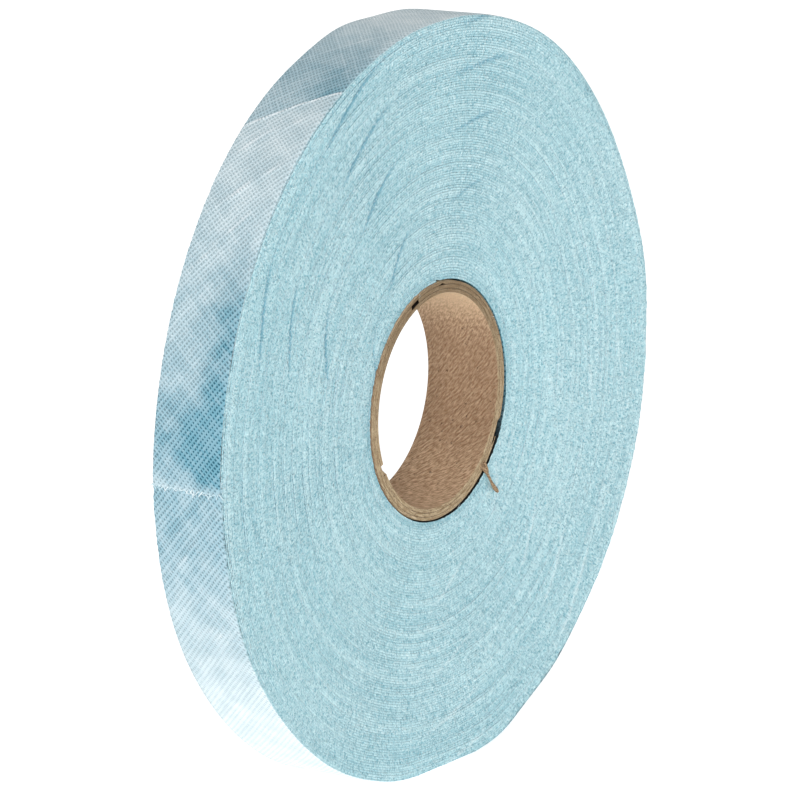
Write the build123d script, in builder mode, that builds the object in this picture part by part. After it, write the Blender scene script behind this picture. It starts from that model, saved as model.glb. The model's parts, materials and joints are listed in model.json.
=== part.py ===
"""Roll of hand wrap: bias-cut gauze tape wound on a spiral-wound paper core.

The roll stands on its tread. The origin is the centre of the bore, +Y runs along the bore from
the front face to the back, and +Z is up. Angles are seen from the front, counter-clockwise from
+X. The tape is wound outwards in that same sense, so its free end points down the left side.
"""

import os
from math import asin, cos, degrees, pi, radians, sin, tan

from build123d import *

os.makedirs("parts", exist_ok=True)

# Paper core
core_bore_diameter = 38.1
ply_thickness = 0.75
ply_strip_width = 75.0  # each ply is one strip of this width, wound in a helix
ply_gaps = {
    # ply: angle of its butt gap at the front face, width of the gap
    "core_inner_ply": (206.0, 1.2),
    "core_middle_ply": (110.7, 1.2),
    "core_outer_ply": (334.0, 1.6),
}

# Gauze tape
tape_width = 14.6
turn_thickness = 0.45
full_turns = 103
seam_angle = 92.0  # where a turn passes over the start of the tape and grows by its thickness
gauze_length = 1440.0  # a strip on the bias of cloth about 1.02 m wide
lap_slant = 38.0  # slant of each lap between two lengths, from straight across the tape
last_lap_angle = 121.0  # the last lap, at mid-width
cut_end_angle = 182.0  # the free end, cut straight across
contact_depth = 1.0  # how far the outer turns are pressed in where the roll stands

# Free end that lifts off the roll
tail_root_angle = 130.0
tail_segment_count = 4
tail_clearance = 0.1  # under the loose end, and between its segments

# Sizes that follow
core_radius = core_bore_diameter / 2 + len(ply_gaps) * ply_thickness
half_step = turn_thickness / 2
half_width = tape_width / 2


def ray(angle, distance):
    """The point at that angle and distance from the origin of the face plane."""
    return Vector(distance * cos(radians(angle)), distance * sin(radians(angle)))


# A turn of tape is two half circles about two centres half a thickness apart, so that each
# turn lies exactly on the one below. Winding is the angle turned through since the tape's start.
half_turn_centres = [Vector(0, 0), ray(seam_angle, half_step)]


def half_turn(winding):
    """The number of the half turn that the winding angle falls in."""
    return int(winding // 180)


def under_radius(half):
    """Radius of the underside of the tape on that half turn."""
    return core_radius + half * half_step


def under_point(winding, lift=0.0):
    """The point on the underside of the tape, or that much further out."""
    half = half_turn(winding)
    return half_turn_centres[half % 2] + ray(seam_angle + winding, under_radius(half) + lift)


def under_line(start, end, lift=0.0):
    """Draws the underside of the tape from one winding angle to another."""
    for half in range(half_turn(start), half_turn(end) + 1):
        first = max(start, 180 * half)
        last = min(end, 180 * (half + 1))
        if last - first > 1e-9:
            centre = half_turn_centres[half % 2]
            CenterArc(centre, under_radius(half) + lift, seam_angle + first, last - first)


def turn_outline(winding):
    """Outline of all that lies under the tape's last turn, when it is cut off at that winding."""
    with BuildLine() as outline:
        under_line(winding, winding + 360)
        Line(under_point(winding + 360), under_point(winding))
    return outline.edges()


def strip_outline(start, end, clearance=0.0):
    """Outline of one thickness of tape between two winding angles."""
    with BuildLine() as outline:
        under_line(start, end, clearance)
        Line(under_point(end, clearance), under_point(end, turn_thickness))
        under_line(start, end, turn_thickness)
        Line(under_point(start, clearance), under_point(start, turn_thickness))
    return outline.edges()


def tape_length(winding):
    """Length of tape wound on by that winding angle, along its middle."""
    whole = half_turn(winding)
    wound = sum(pi * (under_radius(half) + half_step) for half in range(whole))
    return wound + radians(winding - 180 * whole) * (under_radius(whole) + half_step)


def winding_for(length):
    """Winding angle at which that length of tape has been wound on."""
    low = 0.0
    high = 360.0 * (full_turns + 1)
    for _ in range(60):
        middle = (low + high) / 2
        if tape_length(middle) < length:
            low = middle
        else:
            high = middle
    return low


def lap_plane(winding):
    """Plane of a slanted lap: it holds the radius, and leans round the roll towards the back."""
    half = half_turn(winding)
    middle = under_point(winding, half_step)
    angle = radians(seam_angle + winding)
    outward = Vector(cos(angle), 0, sin(angle))
    along = Vector(-sin(angle), 0, cos(angle))
    across = Vector(0, cos(radians(lap_slant)), 0) + along * sin(radians(lap_slant))
    return Plane(origin=(middle.X, 0, middle.Y), x_dir=outward, z_dir=outward.cross(across))


def lap_reach(winding):
    """Winding angle that a lap takes up on each side of its middle, with a little to spare."""
    return degrees(asin(half_width * tan(radians(lap_slant)) / under_radius(half_turn(winding)))) + 0.5


def lap_end(winding, keep, far_end=None):
    """The slanted end of a length of tape, on one side of a lap's plane."""
    reach = lap_reach(winding)
    with BuildPart() as end:
        with BuildSketch(Plane.XZ):
            make_face(strip_outline(winding - reach, far_end or winding + reach))
        extrude(amount=half_width, both=True)
        split(bisect_by=lap_plane(winding), keep=keep)
    return end.part


# The core: three plies, each with the butt gap between the edges of its strip
for ply, (name, (gap_angle, gap_width)) in enumerate(ply_gaps.items()):
    inner_radius = core_bore_diameter / 2 + ply * ply_thickness
    outer_radius = inner_radius + ply_thickness
    middle_radius = (inner_radius + outer_radius) / 2
    helix_slant = asin(ply_strip_width / (2 * pi * middle_radius))
    turn_across = degrees(tape_width / tan(helix_slant) / middle_radius)
    gap_middle = radians(gap_angle - turn_across / 2)
    outward = Vector(cos(gap_middle), 0, sin(gap_middle))
    along = Vector(-sin(gap_middle), 0, cos(gap_middle))
    gap_run = Vector(0, -sin(helix_slant), 0) + along * cos(helix_slant)
    gap_plane = Plane(origin=outward * middle_radius, x_dir=gap_run, z_dir=outward)
    with BuildPart() as core_ply:
        with BuildSketch(Plane.XZ):
            Circle(outer_radius)
            Circle(inner_radius, mode=Mode.SUBTRACT)
        extrude(amount=half_width, both=True)
        with BuildSketch(gap_plane):
            Rectangle(4 * tape_width, gap_width)
        extrude(amount=middle_radius / 2, both=True, mode=Mode.SUBTRACT)
    core_ply.part.label = name
    export_step(core_ply.part, f"parts/{name}.step")

# Windings of the laps, from the last one inwards. The innermost length takes what is left.
free_end = 360 * full_turns + cut_end_angle - seam_angle
last_lap = 360 * full_turns + last_lap_angle - seam_angle
laps = [last_lap]
while tape_length(laps[0]) > 1.5 * gauze_length:
    laps.insert(0, winding_for(tape_length(laps[0]) - gauze_length))

# The wound lengths of gauze, each a coil of turns pressed together
standing_radius = under_radius(2 * full_turns) - contact_depth
for number, lap in enumerate(laps, start=1):
    start = laps[number - 2] if number > 1 else 0.0
    start_reach = lap_reach(start) if number > 1 else 0.0
    outer_end = lap_end(lap, Keep.BOTTOM)
    inner_end = lap_end(start, Keep.TOP) if number > 1 else None
    with BuildPart() as wound_gauze:
        with BuildSketch(Plane.XZ):
            make_face(turn_outline(lap - lap_reach(lap)))
            make_face(turn_outline(start + start_reach), mode=Mode.SUBTRACT)
        extrude(amount=half_width, both=True)
        add(outer_end)
        if inner_end:
            add(inner_end)
        if under_radius(half_turn(lap)) + turn_thickness > standing_radius:
            with BuildSketch(Plane.XY.offset(-standing_radius)):
                Rectangle(2 * core_radius, 2 * tape_width)
            extrude(amount=-2 * contact_depth, mode=Mode.SUBTRACT)
    wound_gauze.part.label = f"gauze_length_{number:02d}"
    export_step(wound_gauze.part, f"parts/gauze_length_{number:02d}.step")

# The last, short length: its root stays on the roll
tail_root = 360 * full_turns + tail_root_angle - seam_angle
end_root = lap_end(last_lap, Keep.TOP, far_end=tail_root)
with BuildPart() as end_length_root:
    add(end_root)
end_length_root.part.label = "end_length_root"
export_step(end_length_root.part, "parts/end_length_root.step")

# Its loose end, in segments that hinge one on the next at their outer corners
segment_turn = (free_end - tail_root) / tail_segment_count
outer_radius = under_radius(2 * full_turns) + turn_thickness
segment_gap = degrees(tail_clearance / outer_radius)
for number in range(1, tail_segment_count + 1):
    start = tail_root + (number - 1) * segment_turn
    with BuildPart() as tail_segment:
        with BuildSketch(Plane.XZ):
            make_face(strip_outline(start + segment_gap, start + segment_turn, tail_clearance))
        extrude(amount=half_width, both=True)
    tail_segment.part.label = f"tail_segment_{number}"
    export_step(tail_segment.part, f"parts/tail_segment_{number}.step")
    hinge = under_point(start, turn_thickness)
    print(f"hinge {number}: x {hinge.X:.3f} z {hinge.Y:.3f}")

print(f"lengths of gauze: {len(laps) + 1}, tape {tape_length(free_end) / 1000:.2f} m")
print(f"outer radius {outer_radius:.3f}, standing radius {standing_radius:.3f}")
print("laps at", [round((lap + seam_angle) % 360, 1) for lap in laps])
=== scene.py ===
# A roll of hand wrap: bias-cut gauze tape wound on a spiral-wound paper core.
#
# Metres. The bore's centre is the origin, +Y runs from the front face to the back, +Z is up.
# Angles are in degrees, seen from the front, counter-clockwise from +X. Winding is the angle
# turned through since the start of the tape, which lies on the core at SEAM_ANGLE.

import json
from math import asin, cos, hypot, pi, radians, sin, tan

import bpy
import numpy as np
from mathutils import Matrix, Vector


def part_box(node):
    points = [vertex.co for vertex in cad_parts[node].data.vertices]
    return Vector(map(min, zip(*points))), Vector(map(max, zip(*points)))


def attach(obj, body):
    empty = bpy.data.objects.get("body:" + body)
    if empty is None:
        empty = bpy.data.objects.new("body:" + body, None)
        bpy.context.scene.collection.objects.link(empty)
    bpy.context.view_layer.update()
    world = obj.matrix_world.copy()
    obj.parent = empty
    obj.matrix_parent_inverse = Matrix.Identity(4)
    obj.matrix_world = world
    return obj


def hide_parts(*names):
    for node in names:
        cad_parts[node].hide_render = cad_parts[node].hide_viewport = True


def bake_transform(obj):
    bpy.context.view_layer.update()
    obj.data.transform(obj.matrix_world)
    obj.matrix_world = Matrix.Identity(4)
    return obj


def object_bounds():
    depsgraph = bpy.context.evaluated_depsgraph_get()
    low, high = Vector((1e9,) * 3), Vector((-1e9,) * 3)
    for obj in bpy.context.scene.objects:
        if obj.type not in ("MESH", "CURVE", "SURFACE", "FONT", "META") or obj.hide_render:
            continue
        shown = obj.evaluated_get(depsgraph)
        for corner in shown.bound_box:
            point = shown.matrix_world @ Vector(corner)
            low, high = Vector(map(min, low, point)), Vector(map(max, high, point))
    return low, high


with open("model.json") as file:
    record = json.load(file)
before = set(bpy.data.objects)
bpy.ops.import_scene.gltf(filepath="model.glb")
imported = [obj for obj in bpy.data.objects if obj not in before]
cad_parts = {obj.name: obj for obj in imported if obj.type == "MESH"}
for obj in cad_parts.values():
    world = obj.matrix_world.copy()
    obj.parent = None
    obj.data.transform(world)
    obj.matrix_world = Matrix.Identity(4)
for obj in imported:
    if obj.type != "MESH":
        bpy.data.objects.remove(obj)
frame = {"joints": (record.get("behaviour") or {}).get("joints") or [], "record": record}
cad_low, cad_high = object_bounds()
bpy.ops.object.select_all(action="DESELECT")

MM = 0.001

# -------- sizes, from the frame

bore_mount = next(mount for mount in frame["record"]["mounts"] if mount["name"] == "core_bore")
first_hinge = next(joint for joint in frame["joints"] if joint["name"] == "tail_lift_1")

BORE_RADIUS = bore_mount["dims"]["r_mm"] * MM
CORE_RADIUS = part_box("core_outer_ply")[1].z
HALF_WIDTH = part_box("core_outer_ply")[1].y
TAPE_WIDTH = 2 * HALF_WIDTH
PLY_COUNT = 3
PLY_THICKNESS = (CORE_RADIUS - BORE_RADIUS) / PLY_COUNT
ROLL_RADIUS = hypot(first_hinge["pos_m"][0], first_hinge["pos_m"][2])
STANDING_RADIUS = -cad_low.z

# -------- how the tape is wound

TAPE_THICKNESS = 0.45 * MM
HALF_STEP = TAPE_THICKNESS / 2
FULL_TURNS = round((ROLL_RADIUS - CORE_RADIUS) / TAPE_THICKNESS) - 1
SEAM_ANGLE = 92.0
GAUZE_LENGTH = 1.440  # of each strip that the tape is lapped together from
LAP_SLANT = tan(radians(38))
LAST_LAP_ANGLE = 121.0
CUT_END_ANGLE = 182.0
SEGMENT_ANGLE = 13.0
TAIL_SEGMENTS = 4

LAST_LAP = 360 * FULL_TURNS + LAST_LAP_ANGLE - SEAM_ANGLE
FREE_END = 360 * FULL_TURNS + CUT_END_ANGLE - SEAM_ANGLE
TAIL_ROOT = FREE_END - TAIL_SEGMENTS * SEGMENT_ANGLE
OUTSIDE_FROM = FREE_END - 362  # the tape past this winding lies on the outside

seam_way = np.array([cos(radians(SEAM_ANGLE)), sin(radians(SEAM_ANGLE))])


def under_radius(winding):
    """Radius of the underside of the tape on the half turn that each winding falls in."""
    return CORE_RADIUS + np.floor(winding / 180) * HALF_STEP


half_turns = 180.0 * np.arange(2 * FULL_TURNS + 3)
half_turn_lengths = np.concatenate(
    [[0.0], np.cumsum(pi * (under_radius(half_turns[:-1]) + HALF_STEP))]
)


def tape_length(winding):
    """Length of tape wound on by that winding."""
    return np.interp(winding, half_turns, half_turn_lengths)


def winding_for(length):
    """Winding at which that length of tape has been wound on."""
    return float(np.interp(length, half_turn_lengths, half_turns))


def wound_place(winding, lift):
    """x and z of the tape at each winding, lifted off the turn below by lift."""
    odd = np.floor(winding / 180) % 2
    radius = under_radius(winding) + lift
    angle = np.radians(SEAM_ANGLE + winding)
    x = odd * HALF_STEP * seam_way[0] + radius * np.cos(angle)
    z = odd * HALF_STEP * seam_way[1] + radius * np.sin(angle)
    return x, z


# -------- how the roll is out of true

# Bulges and dents of the rim: angle, height in millimetres, how far round they reach, and how
# much higher they are at the back edge than at the middle, as a share.
RIM_BUMPS = [
    (253, -0.30, 8, 0.0),
    (267, -0.75, 7, 0.0),
    (288, 0.80, 6, 0.0),
    (304, 0.45, 7, -0.3),
    (322, 0.40, 12, 0.0),
    (345, 0.62, 13, 0.0),
    (8, 0.75, 9, 0.0),
    (26, -0.25, 10, 0.0),
    (56, 0.22, 11, -0.5),
    (75, -0.55, 9, 0.7),
    (89, -0.70, 8, 0.6),
    (108, -0.34, 9, 0.3),
    (155, -0.54, 20, 0.3),
    (174, -0.18, 14, 0.2),
    (208, 0.30, 12, 0.0),
]
SQUEEZE_DEPTH = 11 * MM  # the outer turns that give way where the roll stands
CORE_GAP = 0.04 * MM  # how far the first turn stands off the core where it leaves it
SETTLE_DEPTH = 3.6 * MM  # the inner turns that are pulled in towards it
SETTLE_ANGLE = 4.0  # they spring back over this much of the turn


def hump(distance, reach):
    """1 where the distance is 0, falling off smoothly over the reach."""
    return np.exp(-((distance / reach) ** 2))


def angle_of(x, z):
    return np.degrees(np.arctan2(z, x))


def angle_between(angle, other):
    """Difference of two angles in degrees, from -180 to 180."""
    return (angle - other + 180) % 360 - 180


def settled_in(radius, angle):
    """How far the inner turns are pulled in where the first turn would rise off the core."""
    turned = (angle - SEAM_ANGLE - 180) % 360
    rise = TAPE_THICKNESS * (1 - np.cos(np.radians(turned))) / 2
    near_the_step = np.clip((180 - turned) / SETTLE_ANGLE, 0, 1) * (turned < 180)
    inner = np.clip(1 - (radius - CORE_RADIUS) / SETTLE_DEPTH, 0, 1)
    return np.maximum(rise - CORE_GAP, 0) * near_the_step * inner


def press_out_of_true(x, y, z):
    """Moves points in or out with the rim's bulges and dents, and flattens the bottom."""
    radius = np.hypot(x, z)
    angle = angle_of(x, z)
    bump = np.zeros_like(radius)
    for place, height, reach, lean in RIM_BUMPS:
        leaned = height * MM * (1 + lean * y / HALF_WIDTH)
        bump += leaned * hump(angle_between(angle, place), reach)
    give = np.clip((radius - CORE_RADIUS) / (ROLL_RADIUS - CORE_RADIUS), 0, 1.02)
    pressed = radius + bump * give**2 - settled_in(radius, angle)
    rim = ROLL_RADIUS - TAPE_THICKNESS + bump
    down = np.maximum(-np.sin(np.radians(angle)), 0.2)
    too_far = np.maximum(rim - STANDING_RADIUS / down, 0)
    share = np.clip((pressed - rim + SQUEEZE_DEPTH) / SQUEEZE_DEPTH, 0, 1)
    pressed = pressed - too_far * share
    return x * pressed / radius, np.maximum(z * pressed / radius, -STANDING_RADIUS)


# Where the wound turns have slipped a little, arms run inwards round each face. On the front
# the upper left ones are creases and the lower right ones ridges.
ARM_SPACING = 0.235  # in squared shares of the radius, so each arm holds as much tape
ARM_FALL = 4 * ARM_SPACING / 360
ARM_PHASE = 75.0
ARM_START = 0.774
ARM_WAVES = 9
ARM_WAVE_HEIGHT = 0.018
ARM_WIDTH = 0.48 * MM
ARM_HEIGHT = 0.20 * MM
CREASED_SIDE = 125  # angle of the middle of the side where the arms are creases


def face_arms(radius, angle):
    """-1 in a crease of the face, 1 on a ridge, 0 elsewhere."""
    share = np.clip(radius / ROLL_RADIUS, 0.2, 1.1)
    turned = (angle - ARM_PHASE) % 360
    wave = np.radians(ARM_WAVES * turned)
    straightened = (share + ARM_WAVE_HEIGHT * np.sin(wave)) ** 2
    arm = (straightened + ARM_FALL * turned - ARM_START) / ARM_SPACING
    distance = (arm - np.round(arm)) * ARM_SPACING / (2 * share) * ROLL_RADIUS
    steep = 0.35 + 0.65 * np.clip(np.cos(wave), 0, 1)
    side = -np.cos(np.radians(angle - CREASED_SIDE))
    return steep * side * hump(distance, ARM_WIDTH)


LUMP_CELLS = 512
lump_table = np.random.default_rng(9).uniform(-1, 1, (LUMP_CELLS, LUMP_CELLS))


def lumps_at(x, z, size):
    """Smooth random lumps of about that size, from -1 to 1."""
    cells = []
    for place in (x / size, z / size):
        cell = np.floor(place).astype(int)
        share = place - cell
        cells.append((cell % LUMP_CELLS, (cell + 1) % LUMP_CELLS, share * share * (3 - 2 * share)))
    (left, right, across), (below, above, up) = cells
    low = lump_table[left, below] * (1 - across) + lump_table[right, below] * across
    high = lump_table[left, above] * (1 - across) + lump_table[right, above] * across
    return low * (1 - up) + high * up


BROAD_SWELL = 0.10 * MM
CLOSE_SWELL = 0.05 * MM


def face_swell(radius, angle):
    """Gentle unevenness of a face, outwards, in metres."""
    turned = np.radians(angle)
    broad = np.sin(2 * turned + 90 * radius) * np.sin(radius / (5.1 * MM) + 1.7 * np.sin(turned))
    close = np.sin(5 * turned + radius / (1.9 * MM)) * np.sin(radius / (1.3 * MM) - 2 * turned)
    return BROAD_SWELL * broad + CLOSE_SWELL * close


RIM_ROUNDING = 1.5 * MM  # the outer turns over which a face rounds into the tread
RIM_ROUNDING_DEPTH = 0.40 * MM


def rim_rounding(radius):
    """How far a face is rounded off near the rim."""
    share = np.clip((radius - ROLL_RADIUS + RIM_ROUNDING) / RIM_ROUNDING, 0, 1)
    return share**2 * RIM_ROUNDING_DEPTH


# -------- gauze tape, as mesh code

EDGE_STEP = 0.32 * MM  # between the rings of points along the tape
YARN_END_HEIGHT = 0.16 * MM  # how far the cut yarns stand out of a face
GROOVE_DEPTH = 0.09 * MM  # between two turns, at the face
GROOVES_FADE = 1.8 * MM  # and they fade out over this much at the rim
FUZZ_SIZE = 0.45 * MM  # clumps of fibres that hide the turns' edges on a face
FUZZ_LENGTH = 1.7  # they lie across the turns, so they are this much longer that way
FUZZ_HEIGHT = 0.10 * MM
BAND = 4 * MM  # rings of the face whose fuzz is worked out together
EDGE_WAVE = 0.8 * MM  # size of the waves that loosen the turns' edges on a face
EDGE_LOOSENESS = 0.11 * MM
EDGE_RAGGEDNESS = 0.8  # how unevenly high an edge's crest is, in tape thicknesses
LAST_EDGE_RAGGEDNESS = 0.06
ROW_HEIGHT = 0.06 * MM
CORE_BULGE = 0.28 * MM  # how much the faces stand out beside the core
CORE_BULGE_REACH = 1.6 * MM
CORE_BULGE_ANGLE = 335  # where they do so most
INNER_TURN = 0.5 * MM  # how far out the first turn's painted shade and its flare reach
WARP_PITCH = 0.605 * MM
WEFT_PITCH = 0.855 * MM

rows_random = np.random.default_rng(5)
yarn_chances = rows_random.random(4096)
ROW_NODES = 15  # places round each turn where its unevenness changes
row_nodes = rows_random.standard_normal(ROW_NODES * (FULL_TURNS + 4))


def row_shade(winding):
    """Slow unevenness along the tape, alike in neighbouring turns, about -1 to 1."""
    shade = 0.0
    for turns, share in ((0, 0.85), (1, 0.45)):
        place = (winding + 360 * turns) / 360 * ROW_NODES
        shade = shade + share * np.interp(place, np.arange(row_nodes.size), row_nodes)
    return shade


def yarn_ends(distance, pitch):
    """Where the edge cuts each yarn: 1 in a yarn's middle, 0 between two, lower for thin ones."""
    count = distance / pitch
    chance = yarn_chances[np.floor(count).astype(int) % yarn_chances.size]
    return np.abs(np.sin(np.pi * count)) * (0.45 + 0.55 * chance)


# Patches of the outside that are paler (+) or darker (-): angle, place across the tape in
# millimetres, how far round (degrees) and across (millimetres) they reach, and their strength.
# The pale patches at 224 and 250 are painted light, where light from below falls on the tread.
ACROSS_ALL = 40
ROLL_TONES = [
    (113, 0.0, 8, ACROSS_ALL, -0.35),
    (118, -6.0, 6, 5.0, -0.50),
    (107, -4.0, 7, 4.0, -0.15),
    (90, 0.0, 9, ACROSS_ALL, 0.50),
    (70, 0.0, 20, ACROSS_ALL, 0.25),
    (187, 0.0, 13, ACROSS_ALL, -0.60),
    # painted light: the lower tread paler towards the bottom
    (224, 0.0, 12, ACROSS_ALL, 0.40),
    (250, 0.0, 22, ACROSS_ALL, 1.00),
    (300, 3.0, 25, 9.0, -0.20),
    (350, -3.0, 30, 9.0, 0.25),
    (30, 2.0, 20, 8.0, -0.25),
]
END_TONES = [
    (126, 0.0, 9, ACROSS_ALL, 0.20),
    (139, 0.0, 9, ACROSS_ALL, 0.05),
    (156, 0.0, 10, ACROSS_ALL, -0.25),
    (158, -5.5, 9, 4.0, -0.70),
    (175, 0.0, 9, ACROSS_ALL, -0.75),
    (175, -6.0, 8, 5.5, -0.80),
    (183, 3.0, 1.6, ACROSS_ALL, 0.45),
]

# Creases across the outside: angle, place across and length in millimetres, slant in degrees,
# height in millimetres
CREASES = [
    (124, -2.0, 7, 48, 0.10),
    (128, 3.0, 9, 40, 0.12),
    (133, -3.5, 8, 44, 0.12),
    (137, 2.0, 11, 38, 0.16),
    (142, -1.0, 10, 42, 0.14),
    (148, 4.0, 8, 46, 0.10),
    (155, 0.0, 12, -44, 0.09),
    (192, 1.0, 9, 44, 0.09),
    (205, -2.0, 10, -42, 0.10),
    (222, 2.0, 12, 45, 0.10),
    (262, -1.0, 9, -45, 0.08),
    (300, 2.0, 11, 43, 0.12),
    (328, -2.0, 9, -40, 0.10),
    (5, 1.0, 10, 45, 0.12),
    (47, -2.5, 9, 45, 0.10),
    (84, 2.0, 8, -45, 0.08),
    (103, -1.0, 9, 42, 0.08),
]
CREASE_WIDTH = 0.55 * MM
CREASE_BEND = 0.4 * MM  # a crease wavers by this much
CREASE_WAVE = 2.3 * MM
STEEP_CREASE = 0.15 * MM  # a crease this high is shaded in full
PAINTED_GAP_SHADE = 4.0  # painted shade: tone taken off the first turn's underside beside the core, where the gap to the core lies in shade
FLARE = 0.22 * MM  # how far the first turns stand off the core at the faces
FLARE_ANGLE = 350  # where they do so most
SEAM_WIDTH = 0.40 * MM
SEAM_RISE = 0.10 * MM
RIM_SOFTNESS = 0.45 * MM  # how far in from its edge the outermost turn droops
RIM_DROOP = 0.22 * MM


def tone_at(angle, y, patches):
    """How pale (+) or dark (-) the outside is there."""
    tone = np.zeros(np.broadcast(angle, y).shape)
    for place, across, reach, reach_across, strength in patches:
        near = hump(angle_between(angle, place), reach) * hump(y - across * MM, reach_across * MM)
        tone += strength * near
    return tone


def creases_at(angle, y):
    """Height of the creases, in metres."""
    height = np.zeros(np.broadcast(angle, y).shape)
    for place, across, length, slant, rise in CREASES:
        along = np.radians(angle_between(angle, place)) * ROLL_RADIUS
        up = y - across * MM
        turn = radians(slant)
        down = along * cos(turn) + up * sin(turn)
        beside = up * cos(turn) - along * sin(turn)
        beside = beside - CREASE_BEND * np.sin(down / CREASE_WAVE + place)
        height += rise * MM * hump(down, length * MM / 2) * hump(beside, CREASE_WIDTH)
    return height


def tape_section(columns_over, columns_under):
    """The tape's cross-section as a ring of points: place across, height, and kind.

    Kind is 0 on the flat sides, 1 where an edge meets them and 2 on an edge's crest.
    """
    over = np.sin(np.linspace(-pi / 2, pi / 2, columns_over + 1))
    under = np.linspace(1, -1, columns_under + 1)
    across = np.concatenate([[-1], over, [1], under])
    height = np.concatenate([[0.5], np.full(over.size, 0.97), [0.5], np.full(under.size, 0.03)])
    kind = np.zeros(across.size, int)
    kind[[0, over.size + 1]] = 2
    kind[[1, over.size, over.size + 2, across.size - 1]] = 1
    return across, height, kind


def wind_tape(start, end, slants, columns, bias, seed, tones, clearance=0.0):
    """All the points of one length of tape, from one winding to another.

    slants are how much each end leans round the roll for each metre across the tape, and bias
    the angles of the lines across its warp and its weft yarns.
    """
    random = np.random.default_rng(seed)
    length = tape_length(end) - tape_length(start)
    count = int(round(length / EDGE_STEP))
    share = np.linspace(0, 1, count + 1)[:, None]
    across, height, kind = (part[None, :] for part in tape_section(*columns))
    side = np.sign(across)
    middle = start + (end - start) * share
    y = across * HALF_WIDTH + 0 * share
    slant = slants[0] + (slants[1] - slants[0]) * share
    winding = middle + np.degrees(slant * y / under_radius(middle))
    last_turn = winding > OUTSIDE_FROM
    outermost = last_turn & (height > 0.9)
    outside = outermost & (kind == 0)
    grain = random.random((count + 1, across.size))

    # how high each point lies over the turn below
    from_start = share * length if slants[0] else 1.0
    to_end = (1 - share) * length if slants[1] else 1.0
    seam = hump(np.minimum(from_start, to_end), SEAM_WIDTH)
    creases = creases_at(SEAM_ANGLE + winding, y) * outside
    droop = np.exp(-(HALF_WIDTH - np.abs(y)) / RIM_SOFTNESS) * (kind < 2)
    drooped = LAST_EDGE_RAGGEDNESS * (grain - 0.5) - RIM_DROOP / TAPE_THICKNESS / 2
    ragged = np.where(last_turn, drooped, EDGE_RAGGEDNESS * (grain - 0.5))
    lift = TAPE_THICKNESS * (height + ragged * (kind == 2))
    lift = lift + clearance * (1 - height) + creases + SEAM_RISE * seam * outside
    lift = lift - RIM_DROOP * droop * outermost
    x, z = wound_place(winding, lift)
    radius = np.hypot(x, z)
    angle = angle_of(x, z)

    # how far it stands out of the face
    along = tape_length(winding)
    warp_way, weft_way = (along * cos(radians(turn)) + y * sin(radians(turn)) for turn in bias)
    arms = face_arms(radius, np.where(side < 0, angle, 180 - angle))
    rows = row_shade(winding + 1000 * (side > 0))
    band = np.round(radius / BAND) * BAND
    fuzz = lumps_at(np.radians(angle) * band + 0.1 * side, radius / FUZZ_LENGTH, FUZZ_SIZE)
    ends = np.maximum(yarn_ends(warp_way, WARP_PITCH), 0.9 * yarn_ends(weft_way, WEFT_PITCH))
    ends = 0.4 * ends + 0.6 * grain
    out = np.where(kind == 2, YARN_END_HEIGHT * (ends - 0.4), 0.0)
    inside_rim = np.clip((ROLL_RADIUS - radius) / GROOVES_FADE, 0.2, 1)
    groove = GROOVE_DEPTH * (0.4 + grain) * inside_rim
    out = out - np.where((kind == 1) & ~outermost, groove, 0.0)
    out = out + FUZZ_HEIGHT * (0.8 * fuzz + 0.4 * (grain - 0.5))
    beside_core = hump(radius - CORE_RADIUS, CORE_BULGE_REACH)
    swell = face_swell(radius, angle + 40 * side) + ARM_HEIGHT * arms + ROW_HEIGHT * rows
    swell = swell + CORE_BULGE * beside_core * np.cos(np.radians(angle - CORE_BULGE_ANGLE))
    y = y + side * (kind > 0) * (out + swell) - across * rim_rounding(radius)

    # how its edge spreads off the core, and waves a little
    inner_turn = np.exp(-((radius - CORE_RADIUS) / INNER_TURN))
    flared_side = np.clip(0.65 + 0.6 * np.cos(np.radians(angle - FLARE_ANGLE)), 0, 1)
    flare = 1 + FLARE * (kind > 0) * flared_side * inner_turn / radius
    x = x * flare
    z = z * flare
    loose = EDGE_LOOSENESS * (kind == 2) * (1 - 0.8 * inner_turn) * np.where(last_turn, 0.2, 1.0)
    x = x + loose * lumps_at(x, z + 0.3, EDGE_WAVE)
    z = z + loose * lumps_at(x + 0.4, z, EDGE_WAVE)
    x, z = press_out_of_true(x, y, z)

    # painted shade: the crest value, which darkens the face where it is low, is low at the turns'
    # borders and lower still beside the core
    high = np.where((kind == 2) | outermost, 0.12, -0.24)
    crest = 0.5 + 0.12 * fuzz + 0.5 * (grain - 0.5) + high - 0.9 * inner_turn
    # painted shade on the first turn's underside beside the core
    gap_shade = PAINTED_GAP_SHADE * inner_turn * (height < 0.5)
    return {
        "place": np.stack([x, y, z], 2),
        "kind": kind[0],
        "crest": np.clip(crest, 0, 1) * (kind > 0),
        "row": rows * (kind > 0),
        "line": np.where(kind > 0, arms, creases / STEEP_CREASE + 2 * seam),
        "tone": tone_at(SEAM_ANGLE + winding, y, tones) - gap_shade,
        "map": np.stack([warp_way, weft_way], 2),
    }


def place_in_scene(name, data):
    """Makes an object of a mesh, a camera or a light."""
    piece = bpy.data.objects.new(name, data)
    bpy.context.scene.collection.objects.link(piece)
    return piece


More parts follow.
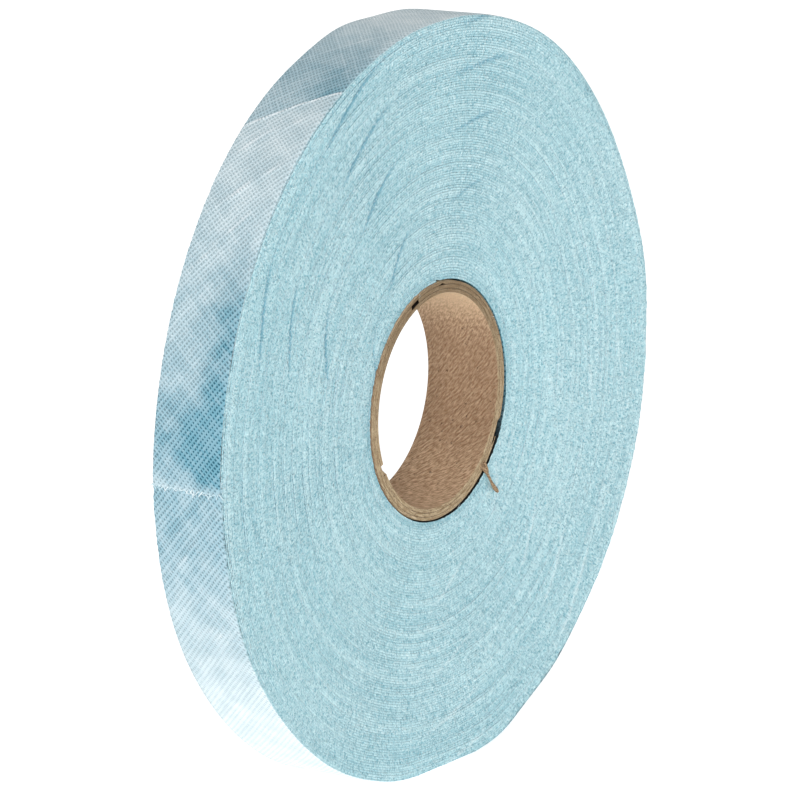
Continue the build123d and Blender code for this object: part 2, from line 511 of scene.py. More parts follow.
def tape_mesh(name, points, rings=slice(None)):
    """Makes a closed mesh of those rings of points."""
    place = points["place"][rings]
    count, around = place.shape[:2]
    kind = points["kind"]
    index = np.arange(count * around).reshape(count, around)
    near = index[:-1]
    far = index[1:]
    quads = np.stack([near, far, np.roll(far, -1, 1), np.roll(near, -1, 1)], 2).reshape(-1, 4)
    corners = np.concatenate([quads.ravel(), index[0], index[-1][::-1]])
    starts = np.concatenate([4 * np.arange(len(quads)), 4 * len(quads) + around * np.arange(2)])

    mesh = bpy.data.meshes.new(name)
    mesh.vertices.add(count * around)
    mesh.vertices.foreach_set("co", place.astype(np.float32).ravel())
    mesh.loops.add(len(corners))
    mesh.loops.foreach_set("vertex_index", corners.astype(np.int32))
    mesh.polygons.add(len(starts))
    mesh.polygons.foreach_set("loop_start", starts.astype(np.int32))
    on_edge = (kind == 2) | (np.roll(kind, -1) == 2)
    slots = np.concatenate([np.tile(on_edge, count - 1), [True, True]]).astype(np.int32)
    mesh.polygons.foreach_set("material_index", slots)
    smooth = np.ones(len(starts), bool)
    smooth[-2:] = False
    mesh.polygons.foreach_set("use_smooth", smooth)
    mesh.update(calc_edges=True)

    ends = np.zeros(2 * len(mesh.edges), np.int32)
    mesh.edges.foreach_get("vertices", ends)
    ends = ends.reshape(-1, 2)
    along_border = (ends[:, 0] % around == ends[:, 1] % around) & (kind[ends[:, 0] % around] == 1)
    at_end = (ends.max(1) < around) | (ends.min(1) >= (count - 1) * around)
    sharp = mesh.attributes.new("sharp_edge", "BOOLEAN", "EDGE")
    sharp.data.foreach_set("value", along_border | at_end)
    for layer in ("crest", "row", "line", "tone"):
        values = points[layer][rings].astype(np.float32).ravel()
        mesh.attributes.new(layer, "FLOAT", "POINT").data.foreach_set("value", values)
    flat_map = points["map"][rings].reshape(-1, 2)[corners].astype(np.float32)
    mesh.uv_layers.new(name="tape").uv.foreach_set("vector", flat_map.ravel())
    mesh.materials.append(cloth_finish)
    mesh.materials.append(edge_finish)
    return place_in_scene(name, mesh)


# -------- node helpers


def colour(red, green, blue):
    """A paint-chart colour, 0 to 255 a channel, as Blender's linear colour."""
    parts = [part / 255 for part in (red, green, blue)]
    linear = [part / 12.92 if part < 0.04045 else ((part + 0.055) / 1.055) ** 2.4 for part in parts]
    return (*linear, 1.0)


def feed(tree, socket, source):
    """Links another node's output to a socket, or gives the socket a value."""
    if isinstance(source, bpy.types.NodeSocket):
        tree.links.new(source, socket)
    elif source is not None:
        socket.default_value = source


def fill(tree, made, **sources):
    """Feeds a node's inputs by name, with _ for a space, and returns its outputs."""
    for name, source in sources.items():
        feed(tree, made.inputs[name.replace("_", " ")], source)
    return made.outputs


def add(tree, kind, *sources, out=0, **settings):
    """Adds a node, with a value or another node's output for each input in turn."""
    made = tree.nodes.new("ShaderNode" + kind)
    for name, value in settings.items():
        setattr(made, name, value)
    for socket, source in zip(made.inputs, sources):
        feed(tree, socket, source)
    return made.outputs[out]


def calc(tree, operation, *sources):
    return add(tree, "Math", *sources, operation=operation)


def times(tree, first, second):
    return calc(tree, "MULTIPLY", first, second)


def vector(tree, operation, *sources, out=0):
    return add(tree, "VectorMath", *sources, operation=operation, out=out)


def split(tree, place):
    """The x, y and z of a place."""
    made = tree.nodes.new("ShaderNodeSeparateXYZ")
    return fill(tree, made, Vector=place)


def blend(tree, share, first, second):
    """Mixes two colours."""
    made = tree.nodes.new("ShaderNodeMix")
    made.data_type = "RGBA"
    for number, source in ((0, share), (6, first), (7, second)):
        feed(tree, made.inputs[number], source)
    return made.outputs[2]


def tint(tree, base, share, strength, *chart):
    """Mixes a paint-chart colour into another colour, by a share times a strength."""
    return blend(tree, times(tree, share, strength), base, colour(*chart))


def ramp(tree, value, low, high):
    """0 below low, 1 above high, smooth between them."""
    made = tree.nodes.new("ShaderNodeMapRange")
    made.interpolation_type = "SMOOTHSTEP"
    return fill(tree, made, Value=value, From_Min=low, From_Max=high)["Result"]


def noise(tree, place, scale, detail=2.0, roughness=0.5, out=0):
    made = tree.nodes.new("ShaderNodeTexNoise")
    fill(tree, made, Vector=place, Scale=scale, Detail=detail, Roughness=roughness)
    return made.outputs[out]


def new_group(name, numbers, results):
    """A shader node group for a Place, with those other inputs: its inputs and output node."""
    tree = bpy.data.node_groups.new(name, "ShaderNodeTree")
    tree.interface.new_socket(name="Place", in_out="INPUT", socket_type="NodeSocketVector")
    for socket, value in numbers.items():
        made = tree.interface.new_socket(name=socket, in_out="INPUT", socket_type="NodeSocketFloat")
        made.default_value = value
    for socket in results:
        tree.interface.new_socket(name=socket, in_out="OUTPUT", socket_type="NodeSocketFloat")
    return tree, tree.nodes.new("NodeGroupInput").outputs, tree.nodes.new("NodeGroupOutput")


def use_group(tree, group, **sources):
    """Places a group, feeds its inputs and returns its outputs."""
    made = tree.nodes.new("ShaderNodeGroup")
    made.node_tree = group
    return fill(tree, made, **sources)


# -------- shared effects


def plain_weave_group():
    """Open plain weave. Place is the distance across the warp yarns, and across the weft."""
    tree, given, result = new_group(
        "open plain weave",
        {"Warp Pitch": 0.6 * MM, "Weft Pitch": 0.85 * MM, "Openness": 0.4, "Wander": 0.3 * MM},
        ["Height", "Cover", "Yarn"],
    )
    drift = vector(tree, "SUBTRACT", noise(tree, given["Place"], 260, out=1), (0.5, 0.5, 0.5))
    wander = vector(tree, "SCALE", drift, None, None, given["Wander"])
    across = split(tree, vector(tree, "ADD", given["Place"], wander))
    yarns = []
    for way, pitch in ((across[0], "Warp Pitch"), (across[1], "Weft Pitch")):
        count = calc(tree, "DIVIDE", way, given[pitch])
        number = calc(tree, "FLOOR", count)
        crown = calc(tree, "SINE", times(tree, calc(tree, "FRACT", count), pi))
        chance = add(tree, "TexWhiteNoise", None, number, noise_dimensions="1D")
        yarns.append((number, crown, chance))
    (warp_number, warp_crown, warp_chance), (weft_number, weft_crown, weft_chance) = yarns
    both = calc(tree, "ADD", warp_number, weft_number)
    parity = calc(tree, "FRACT", times(tree, both, 0.5))
    over = calc(tree, "MULTIPLY_ADD", parity, 4.0, -1.0)
    heights = []
    covers = []
    for crown, other, chance, sign in (
        (warp_crown, weft_crown, warp_chance, 0.3),
        (weft_crown, warp_crown, weft_chance, -0.3),
    ):
        lean = times(tree, times(tree, over, other), sign)
        heights.append(times(tree, crown, calc(tree, "ADD", lean, 0.7)))
        thinness = calc(tree, "MULTIPLY_ADD", chance, -0.5, 1.35)
        bare = times(tree, given["Openness"], thinness)
        low = calc(tree, "SUBTRACT", bare, 0.12)
        covers.append(ramp(tree, crown, low, calc(tree, "ADD", bare, 0.14)))
    height = calc(tree, "MAXIMUM", *heights)
    cover = calc(tree, "MAXIMUM", *covers)
    warp_on_top = calc(tree, "GREATER_THAN", *heights)
    yarn = add(tree, "Mix", warp_on_top, None, weft_chance, warp_chance)
    fill(tree, result, Height=times(tree, height, cover), Cover=cover, Yarn=yarn)
    return tree


def fibre_fuzz_group():
    """The fine hairiness of cotton, and how it shades."""
    tree, given, result = new_group(
        "cotton fibre fuzz", {"Grain": 0.4 * MM}, ["Height", "Speck", "Glint"]
    )
    grains = noise(tree, given["Place"], calc(tree, "DIVIDE", 1.0, given["Grain"]), 1.5, 0.55)
    speck = ramp(tree, grains, 0.45, 0.34)
    glint = ramp(tree, grains, 0.55, 0.68)
    fill(tree, result, Height=grains, Speck=speck, Glint=glint)
    return tree


def soft_mottle_group():
    """Slow, soft change of shade."""
    tree, given, result = new_group("soft mottle", {"Size": 12 * MM}, ["Shade"])
    lumps = noise(tree, given["Place"], calc(tree, "DIVIDE", 1.0, given["Size"]), 3.0)
    fill(tree, result, Shade=ramp(tree, lumps, 0.3, 0.7))
    return tree


def paper_grain_group():
    """Kraft paper: long fibres along the strip, with pits and specks."""
    tree, given, result = new_group(
        "kraft paper grain",
        {"Fibre Length": 3 * MM, "Fibre Width": 0.35 * MM},
        ["Height", "Fibre", "Pit"],
    )
    parts = split(tree, given["Place"])
    along = calc(tree, "DIVIDE", parts[0], given["Fibre Length"])
    across = calc(tree, "DIVIDE", parts[1], given["Fibre Width"])
    through = calc(tree, "DIVIDE", parts[2], given["Fibre Width"])
    fibres = noise(tree, add(tree, "CombineXYZ", along, across, through), 1.0, 4.0, 0.6)
    pit = ramp(tree, noise(tree, given["Place"], 1500), 0.33, 0.25)
    height = calc(tree, "SUBTRACT", fibres, times(tree, pit, 0.6))
    fill(tree, result, Height=height, Fibre=ramp(tree, fibres, 0.36, 0.66), Pit=pit)
    return tree


weave_group = plain_weave_group()
fuzz_group = fibre_fuzz_group()
mottle_group = soft_mottle_group()
grain_group = paper_grain_group()


# -------- materials


def new_material(name, roughness, specular, sheen=0.0, sheen_roughness=0.5):
    """A material with one Principled shader."""
    material = bpy.data.materials.new(name)
    material.use_nodes = True
    tree = material.node_tree
    tree.nodes.clear()
    shader = tree.nodes.new("ShaderNodeBsdfPrincipled")
    output = tree.nodes.new("ShaderNodeOutputMaterial")
    fill(tree, output, Surface=shader.outputs[0])
    fill(tree, shader, Roughness=roughness, Specular_IOR_Level=specular)
    fill(tree, shader, Sheen_Weight=sheen, Sheen_Roughness=sheen_roughness)
    return material, tree


def surface(material, shade, height, depth):
    """Gives a material its colour, and a height in shares of depth for its bump."""
    tree = material.node_tree
    bump = tree.nodes.new("ShaderNodeBump")
    raised = fill(tree, bump, Distance=depth, Strength=1.0, Height=height)
    fill(tree, tree.nodes["Principled BSDF"], Base_Color=shade, Normal=raised[0])
    return material


def attribute(tree, name):
    return add(tree, "Attribute", out="Fac", attribute_name=name)


def object_place(tree):
    return add(tree, "TexCoord", out="Object")


def gauze_cloth():
    material, tree = new_material("gauze_cloth", 0.95, specular=0.1, sheen=0.03)
    place = add(tree, "UVMap", uv_map="tape")
    weave = use_group(
        tree, weave_group, Place=place, Openness=0.58, Warp_Pitch=WARP_PITCH, Weft_Pitch=WEFT_PITCH
    )
    fuzz = use_group(tree, fuzz_group, Place=object_place(tree), Grain=0.30 * MM)
    mottle = use_group(tree, mottle_group, Place=place, Size=4.5 * MM)["Shade"]
    tone = attribute(tree, "tone")
    line = attribute(tree, "line")
    patchy = calc(tree, "ADD", tone, calc(tree, "MULTIPLY_ADD", mottle, 0.30, -0.15))
    pale = calc(tree, "MULTIPLY_ADD", patchy, 0.5, 0.5)
    yarn = blend(tree, pale, colour(112, 164, 182), colour(240, 248, 250))
    yarn = tint(tree, yarn, ramp(tree, weave["Yarn"], 0.3, 1.0), 0.10, 240, 245, 249)
    # the cloth whiter along the creases, broken up by the mottle
    whiter_on_creases = times(tree, ramp(tree, line, 0.15, 0.9), mottle)
    yarn = tint(tree, yarn, whiter_on_creases, 0.55, 244, 248, 251)
    # painted highlight along the laps' frayed edges, where they catch the light from below
    yarn = tint(tree, yarn, ramp(tree, line, 1.15, 1.6), 0.75, 240, 248, 252)
    hole = blend(tree, pale, colour(50, 102, 120), colour(212, 230, 235))
    cloth = blend(tree, weave["Cover"], hole, yarn)
    cloth = tint(tree, cloth, times(tree, fuzz["Glint"], pale), 0.50, 242, 248, 250)
    # painted shade: near black where the tone is very low, in the gap between the first turn and
    # the core
    cloth = blend(tree, ramp(tree, tone, -1.8, -3.2), cloth, colour(28, 30, 30))
    height = calc(tree, "MULTIPLY_ADD", fuzz["Height"], 0.35, weave["Height"])
    return surface(material, cloth, height, 0.14 * MM)


def across_the_turns(tree, place):
    """Places on a face, drawn together along the radius, so that fuzz lies across the turns."""
    parts = split(tree, place)
    flat = add(tree, "CombineXYZ", parts[0], 0.0, parts[2])
    radius = vector(tree, "LENGTH", flat, out=1)
    band = times(tree, calc(tree, "ROUND", calc(tree, "DIVIDE", radius, BAND)), BAND)
    ring = split(tree, vector(tree, "SCALE", vector(tree, "NORMALIZE", flat), None, None, band))
    drawn_in = calc(tree, "MULTIPLY_ADD", radius, 1 / FUZZ_LENGTH, parts[1])
    return add(tree, "CombineXYZ", ring[0], drawn_in, ring[2])


def gauze_cut_edge():
    material, tree = new_material("gauze_cut_edge", 0.95, 0.15, sheen=0.12, sheen_roughness=0.6)
    place = object_place(tree)
    fuzz = use_group(tree, fuzz_group, Place=across_the_turns(tree, place), Grain=0.30 * MM)
    mottle = use_group(tree, mottle_group, Place=place, Size=22 * MM)["Shade"]
    line = attribute(tree, "line")
    row = attribute(tree, "row")
    crest = ramp(tree, attribute(tree, "crest"), 0.0, 1.0)
    # painted shade: darker where the crest value is low, between the turns and beside the core
    body = blend(tree, crest, colour(141, 185, 196), colour(210, 240, 244))
    body = tint(tree, body, mottle, 0.2, 150, 204, 215)
    body = tint(tree, body, ramp(tree, row, 0.2, 1.4), 0.36, 206, 234, 238)
    body = tint(tree, body, ramp(tree, row, -0.2, -1.4), 0.28, 136, 186, 198)
    # painted shade in the face's creases, and a painted highlight on its ridges
    body = tint(tree, body, ramp(tree, line, -0.1, -0.8), 0.80, 96, 156, 178)
    body = tint(tree, body, ramp(tree, line, 0.1, 0.8), 0.42, 224, 242, 245)
    body = tint(tree, body, fuzz["Speck"], 0.72, 104, 160, 176)
    body = tint(tree, body, fuzz["Glint"], 0.45, 230, 248, 250)
    return surface(material, body, fuzz["Height"], 0.40 * MM)


def kraft_wall():
    """The ply's faces. The map runs along the paper strip."""
    material, tree = new_material("kraft_wall", 0.85, specular=0.3)
    strip = add(tree, "UVMap", uv_map="strip")
    grain = use_group(tree, grain_group, Place=strip, Fibre_Length=1.1 * MM, Fibre_Width=0.32 * MM)
    mottle = use_group(tree, mottle_group, Place=object_place(tree), Size=7 * MM)["Shade"]
    up = attribute(tree, "tone")
    gap_shaded = ramp(tree, attribute(tree, "ply_gap_shade"), 0.4, 0.9)
    not_lowest = calc(
        tree, "SUBTRACT", ramp(tree, up, 0.80, 0.25), ramp(tree, up, -0.45, -0.95)
    )
    paper = tint(tree, colour(166, 132, 101), grain["Fibre"], 0.75, 254, 222, 186)
    paper = tint(tree, paper, mottle, 0.22, 160, 124, 94)
    # painted light: the wall paler near the top of the bore, as lit from below
    paper = tint(tree, paper, ramp(tree, up, 0.45, 0.95), 0.80, 240, 208, 170)
    # painted shade: the wall darker away from its top and its very bottom
    paper = tint(tree, paper, not_lowest, 0.42, 124, 92, 66)
    paper = tint(tree, paper, grain["Pit"], 0.7, 84, 58, 42)
    # painted shade: near black on the faces where the plies meet, where they show in the butt gaps
    # and slits
    paper = blend(tree, gap_shaded, paper, colour(34, 24, 17))
    return surface(material, paper, grain["Height"], 0.80 * MM)


def kraft_end():
    """The board's cut end: thin layers of paper round the bore."""
    material, tree = new_material("kraft_end", 0.9, specular=0.2)
    place = object_place(tree)
    parts = split(tree, place)
    out = vector(tree, "LENGTH", add(tree, "CombineXYZ", parts[0], 0.0, parts[2]), out=1)
    slow = [times(tree, part, 0.12) for part in (parts[0], parts[2])]
    layers = add(tree, "CombineXYZ", *slow, out)
    streak = ramp(tree, noise(tree, layers, 4500, 3.0, 0.6), 0.35, 0.65)
    speck = use_group(tree, fuzz_group, Place=place, Grain=0.3 * MM)["Speck"]
    board = tint(tree, colour(148, 125, 95), streak, 0.8, 202, 182, 150)
    darker = ramp(tree, attribute(tree, "tone"), -0.3, 1.0)
    board = tint(tree, board, darker, 0.65, 116, 96, 72)
    board = tint(tree, board, speck, 0.6, 104, 82, 60)
    return surface(material, board, streak, 0.08 * MM)


def torn_paper():
    """Torn kraft paper: pale fibres and brown specks."""
    material, tree = new_material("torn_paper", 0.95, specular=0.2)
    place = object_place(tree)
    grain = use_group(tree, grain_group, Place=place, Fibre_Length=0.5 * MM, Fibre_Width=0.12 * MM)
    paper = blend(tree, grain["Fibre"], colour(84, 60, 40), colour(190, 162, 130))
    return surface(material, paper, grain["Height"], 0.10 * MM)


def loose_cotton():
    """Yarn ends and lint."""
    material, tree = new_material("loose_cotton", 0.95, 0.2, sheen=0.3, sheen_roughness=0.6)
    place = object_place(tree)
    mottle = use_group(tree, mottle_group, Place=place, Size=2.5 * MM)["Shade"]
    fuzz = use_group(tree, fuzz_group, Place=place, Grain=0.2 * MM)
    fibre = blend(tree, mottle, colour(178, 210, 220), colour(232, 242, 245))
    return surface(material, fibre, fuzz["Height"], 0.05 * MM)


cloth_finish = gauze_cloth()
fibre_finish = loose_cotton()
edge_finish = gauze_cut_edge()
wall_finish = kraft_wall()
end_finish = kraft_end()
torn_finish = torn_paper()
WHITE = (1.0, 1.0, 1.0, 1.0)
floor_finish, tree = new_material("plain_floor", 0.9, specular=0.0)
floor_shader = tree.nodes["Principled BSDF"]
fill(tree, floor_shader, Base_Color=(0.93, 0.93, 0.93, 1.0))
fill(tree, floor_shader, Emission_Color=WHITE, Emission_Strength=0.50)


# -------- camera, lights and floor

CAMERA_AZIMUTH = -56.82
CAMERA_ELEVATION = 14.40
CAMERA_PLACE = Vector((-29.226, -18.992, 8.951))  # in rim radii, from the front face's centre
RIM_RADIUS = ROLL_RADIUS - 0.35 * MM  # at its edge, where the outermost turn droops

camera_data = bpy.data.cameras.new("camera")
camera_data.lens = 630
camera = place_in_scene("camera", camera_data)
camera.location = CAMERA_PLACE * RIM_RADIUS + Vector((0, -HALF_WIDTH, 0))
camera.rotation_euler = (radians(90 - CAMERA_ELEVATION), 0, radians(CAMERA_AZIMUTH))
bpy.context.scene.camera = camera

bpy.ops.mesh.primitive_plane_add(size=8, location=(0, 0, -STANDING_RADIUS - 0.05 * MM))
floor = bpy.context.object
floor.name = "floor"
floor.data.materials.append(floor_finish)


def soft_light(name, place, size, power):
    """A round light that looks at the origin."""
    data = bpy.data.lights.new(name, "AREA")
    data.shape = "DISK"
    data.size = size
    data.energy = power
    light = place_in_scene(name, data)
    light.location = place
    light.rotation_euler = Vector(place).to_track_quat("Z", "Y").to_euler()
    light.visible_camera = False


soft_light("key", (-1.2, -0.55, 0.35), 0.5, 8.3)
soft_light("fill", (0.3, -1.5, 0.15), 1.2, 5)
soft_light("back", (0.5, 1.5, 0.4), 1.2, 4)

world = bpy.data.worlds.new("studio")
bpy.context.scene.world = world
world.use_nodes = True
fill(world.node_tree, world.node_tree.nodes["Background"], Color=WHITE, Strength=0.58)
bpy.context.scene.view_settings.view_transform = "Standard"


# -------- the wound lengths of gauze

laps = [LAST_LAP]
while tape_length(laps[0]) > 1.5 * GAUZE_LENGTH:
    laps.insert(0, winding_for(tape_length(laps[0]) - GAUZE_LENGTH))

for number, lap in enumerate(laps, start=1):
    start = 0.0
    start_slant = 0.0
    if number > 1:
        start = laps[number - 2]
        start_slant = LAP_SLANT
    lean = 5 * sin(2.4 * number)
    bias = (44 + lean, -46 + lean)
    columns = (4, 4) if number == 1 else (1, 1)
    if number == len(laps):
        bias = (49, -48.5)
        columns = (16, 1)
    points = wind_tape(start, lap, (start_slant, LAP_SLANT), columns, bias, number, ROLL_TONES)
    gauze = tape_mesh(f"gauze_wound_{number:02d}", points)
    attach(gauze, "roll")
    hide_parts(f"gauze_length_{number:02d}")

# -------- the loose end

TAIL_CLEARANCE = 0.1 * MM
RIGID_ANGLE = 10.0  # and each stretch of cloth meets the next this far past its hinge
tail_points = wind_tape(
    LAST_LAP, FREE_END, (LAP_SLANT, 0.0), (24, 8), (39, -51.5), 77, END_TONES, TAIL_CLEARANCE
)
tail_steps = len(tail_points["place"]) - 1


def ring_at(winding):
    """Number of the tail's ring of points that is nearest to that winding."""
    return int(round((winding - LAST_LAP) / (FREE_END - LAST_LAP) * tail_steps))


for number in range(1, TAIL_SEGMENTS + 1):
    hinge = TAIL_ROOT + (number - 1) * SEGMENT_ANGLE
    first = ring_at(hinge - SEGMENT_ANGLE + RIGID_ANGLE)
    last = ring_at(hinge + RIGID_ANGLE)
    nodes = [f"tail_segment_{number}"]
    if number == 1:
        first = 0
        nodes = ["end_length_root", "tail_segment_1"]
    if number == TAIL_SEGMENTS:
        last = tail_steps
    stretch = tape_mesh(f"gauze_end_{number}", tail_points, slice(first, last + 1))
    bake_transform(stretch)
    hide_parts(*nodes)


# -------- loose yarns and fibres


def strands_mesh(name, place, thickness, sides):
    """Thin tapered strands. place is (strand, point, xyz), and thickness (strand, point)."""
    strands, points = thickness.shape
    way = np.gradient(place, axis=1)
    way /= np.linalg.norm(way, axis=2, keepdims=True)
    beside = np.cross(way, np.array([0.31, 0.52, 0.80]))
    beside /= np.linalg.norm(beside, axis=2, keepdims=True)
    other = np.cross(way, beside)
    turn = (2 * pi * np.arange(sides) / sides)[:, None]
    ring = beside[:, :, None] * np.cos(turn) + other[:, :, None] * np.sin(turn)
    skin = place[:, :, None] + ring * thickness[:, :, None, None] / 2
    index = np.arange(strands * points * sides).reshape(strands, points, sides)
    near = index[:, :-1]
    far = index[:, 1:]
    walls = np.stack([near, np.roll(near, -1, 2), np.roll(far, -1, 2), far], 3).reshape(-1, 4)
    ends = np.concatenate([index[:, 0, ::-1], index[:, -1]])
    mesh = bpy.data.meshes.new(name)
    mesh.from_pydata(skin.reshape(-1, 3).tolist(), [], walls.tolist() + ends.tolist())
    mesh.polygons.foreach_set("use_smooth", np.ones(len(mesh.polygons), bool))
    mesh.materials.append(fibre_finish)
    piece = place_in_scene(name, mesh)
    return piece


def cut_fringe():
    """Short ends of yarn that stick out of the free end, along both of its bias directions."""
    random = np.random.default_rng(31)
    starts = []
    for pitch, lean in ((0.80 * MM, 45), (1.05 * MM, -45)):
        for y in np.arange(-HALF_WIDTH + 0.5 * MM, HALF_WIDTH - 0.4 * MM, pitch):
            starts.append((y + random.uniform(-0.2, 0.2) * MM, lean + random.uniform(-14, 14)))
    starts = np.array(starts)
    count = len(starts)
    share = np.linspace(0, 1, 5)[None, :]
    reach = random.uniform(0.6, 1.5, (count, 1)) * MM
    lean = np.radians(starts[:, 1:] + 30 * (random.random((count, 1)) - 0.5) * share)
    y = starts[:, :1] + reach * share * np.sin(lean)
    along = reach * share * np.cos(lean) - 0.35 * MM
    lift = TAPE_THICKNESS * random.uniform(0.45, 0.95, (count, 1)) + 0.15 * MM * share
    x, z = wound_place(FREE_END + np.degrees(along / ROLL_RADIUS), lift)
    x, z = press_out_of_true(x, y, z)
    thickness = random.uniform(0.16, 0.24, (count, 1)) * MM * (1 - 0.35 * share)
    return strands_mesh("cut_end_fringe", np.stack([x, y, z], 2), thickness, 6)


LINT_FIBRES = 1800  # on each face


def face_lint(name, side, seed):
    """Loose fibres lying on a face of the roll."""
    random = np.random.default_rng(seed)
    size = (LINT_FIBRES, 1)
    radius = np.sqrt(random.uniform((CORE_RADIUS / ROLL_RADIUS) ** 2, 0.995, size)) * ROLL_RADIUS
    angle = random.uniform(0, 2 * pi, size)
    share = np.linspace(0, 1, 4)[None, :]
    reach = random.uniform(0.5, 1.7, size) * MM * share
    heading = angle + random.uniform(0, 2 * pi, size) + random.uniform(-1.4, 1.4, size) * share
    x = radius * np.cos(angle) + reach * np.cos(heading)
    z = radius * np.sin(angle) + reach * np.sin(heading)
    radius = np.hypot(x, z)
    swell = face_swell(radius, angle_of(x, z) + 40 * side)
    stand = random.uniform(0.10, 0.34, size) * MM * np.sin(pi * (0.1 + 0.75 * share))
    y = side * (HALF_WIDTH + swell + stand - rim_rounding(radius))
    x, z = press_out_of_true(x, y, z)
    thickness = random.uniform(0.03, 0.055, size) * MM * (1 - 0.4 * share)
    return strands_mesh(name, np.stack([x, y, z], 2), thickness, 3)


fringe = cut_fringe()
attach(fringe, f"tail_{TAIL_SEGMENTS}")
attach(face_lint("front_face_lint", -1, 41), "roll")
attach(face_lint("back_face_lint", 1, 42), "roll")

# -------- the paper core, as by hand

PLIES = [
    # name, CAD node, angle of its butt gap at the front face, width of the gap
    ("core_inner_wrap", "core_inner_ply", 206.0, 1.2 * MM),
    ("core_middle_wrap", "core_middle_ply", 110.7, 1.2 * MM),
    ("core_outer_wrap", "core_outer_ply", 334.0, 1.6 * MM),
]
PLY_STRIP_WIDTH = 75 * MM
PLY_GLUE_LINE = 0.05 * MM
PLY_CORNER = 0.10 * MM
SHARP_ANGLE = radians(50)
PAPER_TAPER = 0.14 * MM  # how much thinner the outer ply is at its ends
SLITS = [
    # where the outer ply has come unglued at the front: angle, half its length in degrees, width
    (86.7, 1.8, 0.30 * MM),
    (329.0, 2.6, 0.38 * MM),
]
SLIT_RADIUS = CORE_RADIUS - PLY_THICKNESS
SLIT_DEPTH = 1 * MM


def switch_mode(mode):
    bpy.ops.object.mode_set(mode=mode)


def select_faces(piece, wanted):
    """In object mode: selects the faces whose middle is wanted, and nothing else."""
    mesh = piece.data
    mesh.vertices.foreach_set("select", np.zeros(len(mesh.vertices), bool))
    mesh.edges.foreach_set("select", np.zeros(len(mesh.edges), bool))
    for face in mesh.polygons:
        face.select = wanted(face.center)


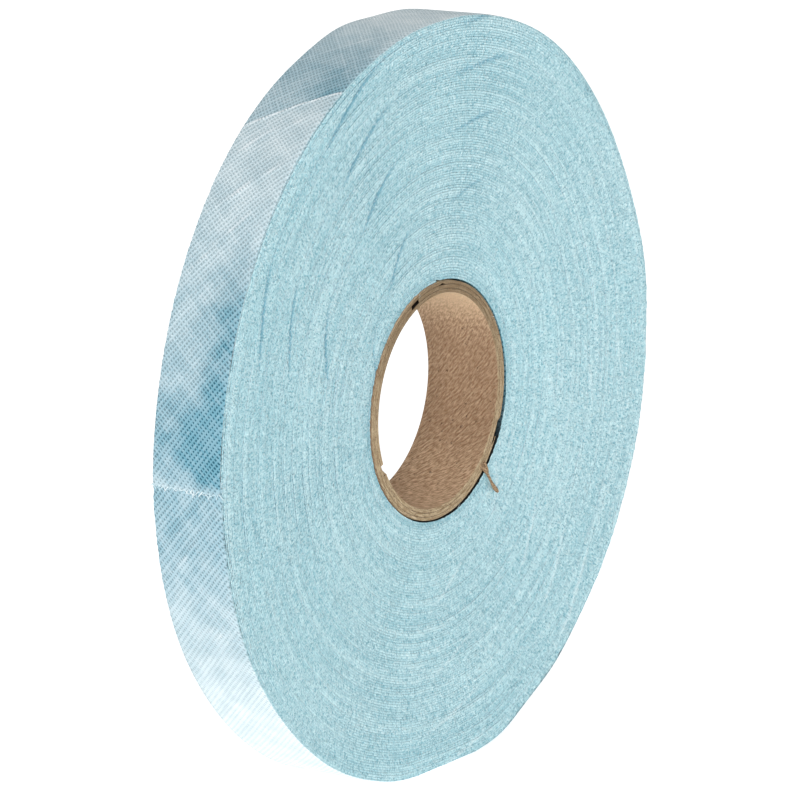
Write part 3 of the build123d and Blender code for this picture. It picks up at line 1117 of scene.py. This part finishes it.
def core_wrap(name, node, inner_radius, gap_angle, gap_width):
    """One paper ply: a tube wall with a slanted butt gap, given its thickness and soft corners."""
    middle_radius = inner_radius + PLY_THICKNESS / 2
    slant = asin(PLY_STRIP_WIDTH / (2 * pi * middle_radius))
    turn_across = TAPE_WIDTH / tan(slant) / middle_radius
    gap_middle = radians(gap_angle) - turn_across / 2
    outward = Vector((cos(gap_middle), 0, sin(gap_middle)))
    along = Vector((-sin(gap_middle), 0, cos(gap_middle)))
    gap_run = Vector((0, -sin(slant), 0)) + along * cos(slant)
    gap_side = gap_run.cross(outward)
    gap_centre = outward * middle_radius

    bpy.ops.mesh.primitive_cylinder_add(
        vertices=360,
        radius=middle_radius,
        depth=TAPE_WIDTH,
        end_fill_type="NOTHING",
        rotation=(pi / 2, 0, 0),
    )
    ply = bpy.context.object
    ply.name = name
    bpy.ops.object.transform_apply(location=True, rotation=True, scale=True)
    switch_mode("EDIT")
    bpy.ops.mesh.select_all(action="SELECT")
    bpy.ops.mesh.subdivide(number_cuts=3)
    switch_mode("OBJECT")
    for side in (-1, 1):
        select_faces(ply, lambda middle: middle.dot(outward) > 0)
        switch_mode("EDIT")
        edge = gap_centre + gap_side * (side * gap_width / 2)
        bpy.ops.mesh.bisect(plane_co=edge, plane_no=gap_side)
        switch_mode("OBJECT")
    select_faces(
        ply,
        lambda middle: middle.dot(outward) > 0
        and abs((middle - gap_centre).dot(gap_side)) < gap_width / 2,
    )
    switch_mode("EDIT")
    bpy.ops.mesh.delete(type="FACE")
    bpy.ops.mesh.select_all(action="SELECT")
    bpy.ops.mesh.remove_doubles(threshold=0.02 * MM)
    switch_mode("OBJECT")

    wall = ply.modifiers.new("wall", "SOLIDIFY")
    wall.thickness = PLY_THICKNESS - PLY_GLUE_LINE
    wall.offset = 0
    bpy.ops.object.modifier_apply(modifier="wall")
    corners = ply.modifiers.new("corners", "BEVEL")
    corners.width = PLY_CORNER
    corners.segments = 2
    corners.limit_method = "ANGLE"
    corners.angle_limit = SHARP_ANGLE
    bpy.ops.object.modifier_apply(modifier="corners")
    bpy.ops.object.shade_smooth_by_angle(angle=SHARP_ANGLE)

    # its map runs along the paper strip, from the butt gap
    mesh = ply.data
    points = np.zeros(3 * len(mesh.vertices), np.float32)
    mesh.vertices.foreach_get("co", points)
    x, y, z = points.reshape(-1, 3).T
    gap_at = gap_middle - y / tan(slant) / middle_radius
    turned = (np.arctan2(z, x) - gap_at) % (2 * pi)
    run = (turned + gap_at - gap_middle) * middle_radius
    strip = np.stack(
        [run * cos(slant) - y * sin(slant), run * sin(slant) + y * cos(slant)], 1
    )
    corner_points = np.zeros(len(mesh.loops), np.int32)
    mesh.loops.foreach_get("vertex_index", corner_points)
    while mesh.uv_layers:
        mesh.uv_layers.remove(mesh.uv_layers[0])
    strip_map = mesh.uv_layers.new(name="strip")
    strip_map.uv.foreach_set("vector", strip[corner_points].astype(np.float32).ravel())

    # the slits, and the outer ply's thin ends
    radius = np.hypot(x, z)
    angle = angle_of(x, z)
    beside_slit = (radius > SLIT_RADIUS) & (radius < SLIT_RADIUS + 0.15 * MM)
    beside_slit &= y < SLIT_DEPTH - HALF_WIDTH
    outwards = np.zeros(len(x))
    for place, reach, width in SLITS:
        outwards += width * hump(angle_between(angle, place), reach) * beside_slit
    near_end = np.clip(2 * np.abs(y) / HALF_WIDTH - 1, 0, 1)
    outwards -= PAPER_TAPER * near_end * (radius > CORE_RADIUS - 0.3 * MM)
    grown = 1 + outwards / radius
    points = np.stack([x * grown, y, z * grown], 1).astype(np.float32)
    mesh.vertices.foreach_set("co", points.ravel())

    # ply_gap_shade marks the faces where the plies meet, painted near black as shade where they
    # show in the gaps and slits
    between_plies = np.abs(radius - (BORE_RADIUS + CORE_RADIUS) / 2) < PLY_THICKNESS
    # tone here is z over radius, how high a point is round the bore: it drives the wall's painted
    # light and shade
    for attribute_name, values in (("tone", z / radius), ("ply_gap_shade", between_plies)):
        made = mesh.attributes.new(attribute_name, "FLOAT", "POINT")
        made.data.foreach_set("value", values.astype(np.float32))
    mesh.materials.append(wall_finish)
    mesh.materials.append(end_finish)
    for face in mesh.polygons:
        at_end = abs(face.center.y) > HALF_WIDTH - 0.05 * MM
        face.material_index = int(at_end or abs(face.normal.y) > 0.5)
    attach(ply, "roll")
    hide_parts(node)


for layer, (name, node, gap_angle, gap_width) in enumerate(PLIES):
    core_wrap(name, node, BORE_RADIUS + layer * PLY_THICKNESS, gap_angle, gap_width)


def torn_strand(name, path, widths):
    """A torn strip of paper: a small hexagon extruded along its path, then smoothed."""
    points = [Vector(point) * MM for point in path]
    way = (Vector(path[1]) - Vector(path[0])).to_track_quat("Z", "Y").to_euler()
    radius = widths[0] / 2 * MM
    bpy.ops.object.select_all(action="DESELECT")
    bpy.ops.mesh.primitive_circle_add(
        vertices=6, radius=radius, fill_type="NGON", location=points[0], rotation=way
    )
    strand = bpy.context.object
    strand.name = name
    bpy.ops.object.transform_apply(location=True, rotation=True, scale=True)
    switch_mode("EDIT")
    bpy.ops.mesh.select_all(action="SELECT")
    bpy.ops.transform.resize(value=(1, 0.75, 1), center_override=points[0])
    for number in range(1, len(points)):
        step = points[number] - points[number - 1]
        narrower = widths[number] / widths[number - 1]
        bpy.ops.mesh.extrude_region_move(TRANSFORM_OT_translate={"value": step})
        bpy.ops.transform.resize(
            value=(narrower, narrower, narrower), center_override=points[number]
        )
    bpy.ops.mesh.select_all(action="SELECT")
    bpy.ops.mesh.normals_make_consistent(inside=False)
    switch_mode("OBJECT")
    smooth = strand.modifiers.new("smooth", "SUBSURF")
    smooth.levels = 2
    smooth.render_levels = 2
    bpy.ops.object.modifier_apply(modifier="smooth")
    bpy.ops.object.shade_smooth()
    strand.data.materials.append(torn_finish)
    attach(strand, "roll")


# Torn at the core's front edge: points in millimetres, then the widths there
torn_strand(
    "torn_paper_sliver",
    [
        (13.3, -7.05, -14.3),
        (14.1, -7.45, -15.1),
        (14.6, -7.75, -15.8),
        (15.5, -7.95, -17.3),
        (16.2, -8.05, -18.6),
        (17.3, -8.10, -19.7),
        (18.1, -8.15, -20.4),
    ],
    [1.20, 1.10, 0.85, 0.60, 0.75, 1.20, 0.40],
)
torn_strand(
    "torn_paper_shred",
    [(14.4, -7.10, -13.9), (14.6, -7.60, -14.7), (14.9, -7.85, -15.6), (15.1, -7.90, -16.3)],
    [0.85, 0.80, 0.66, 0.36],
)
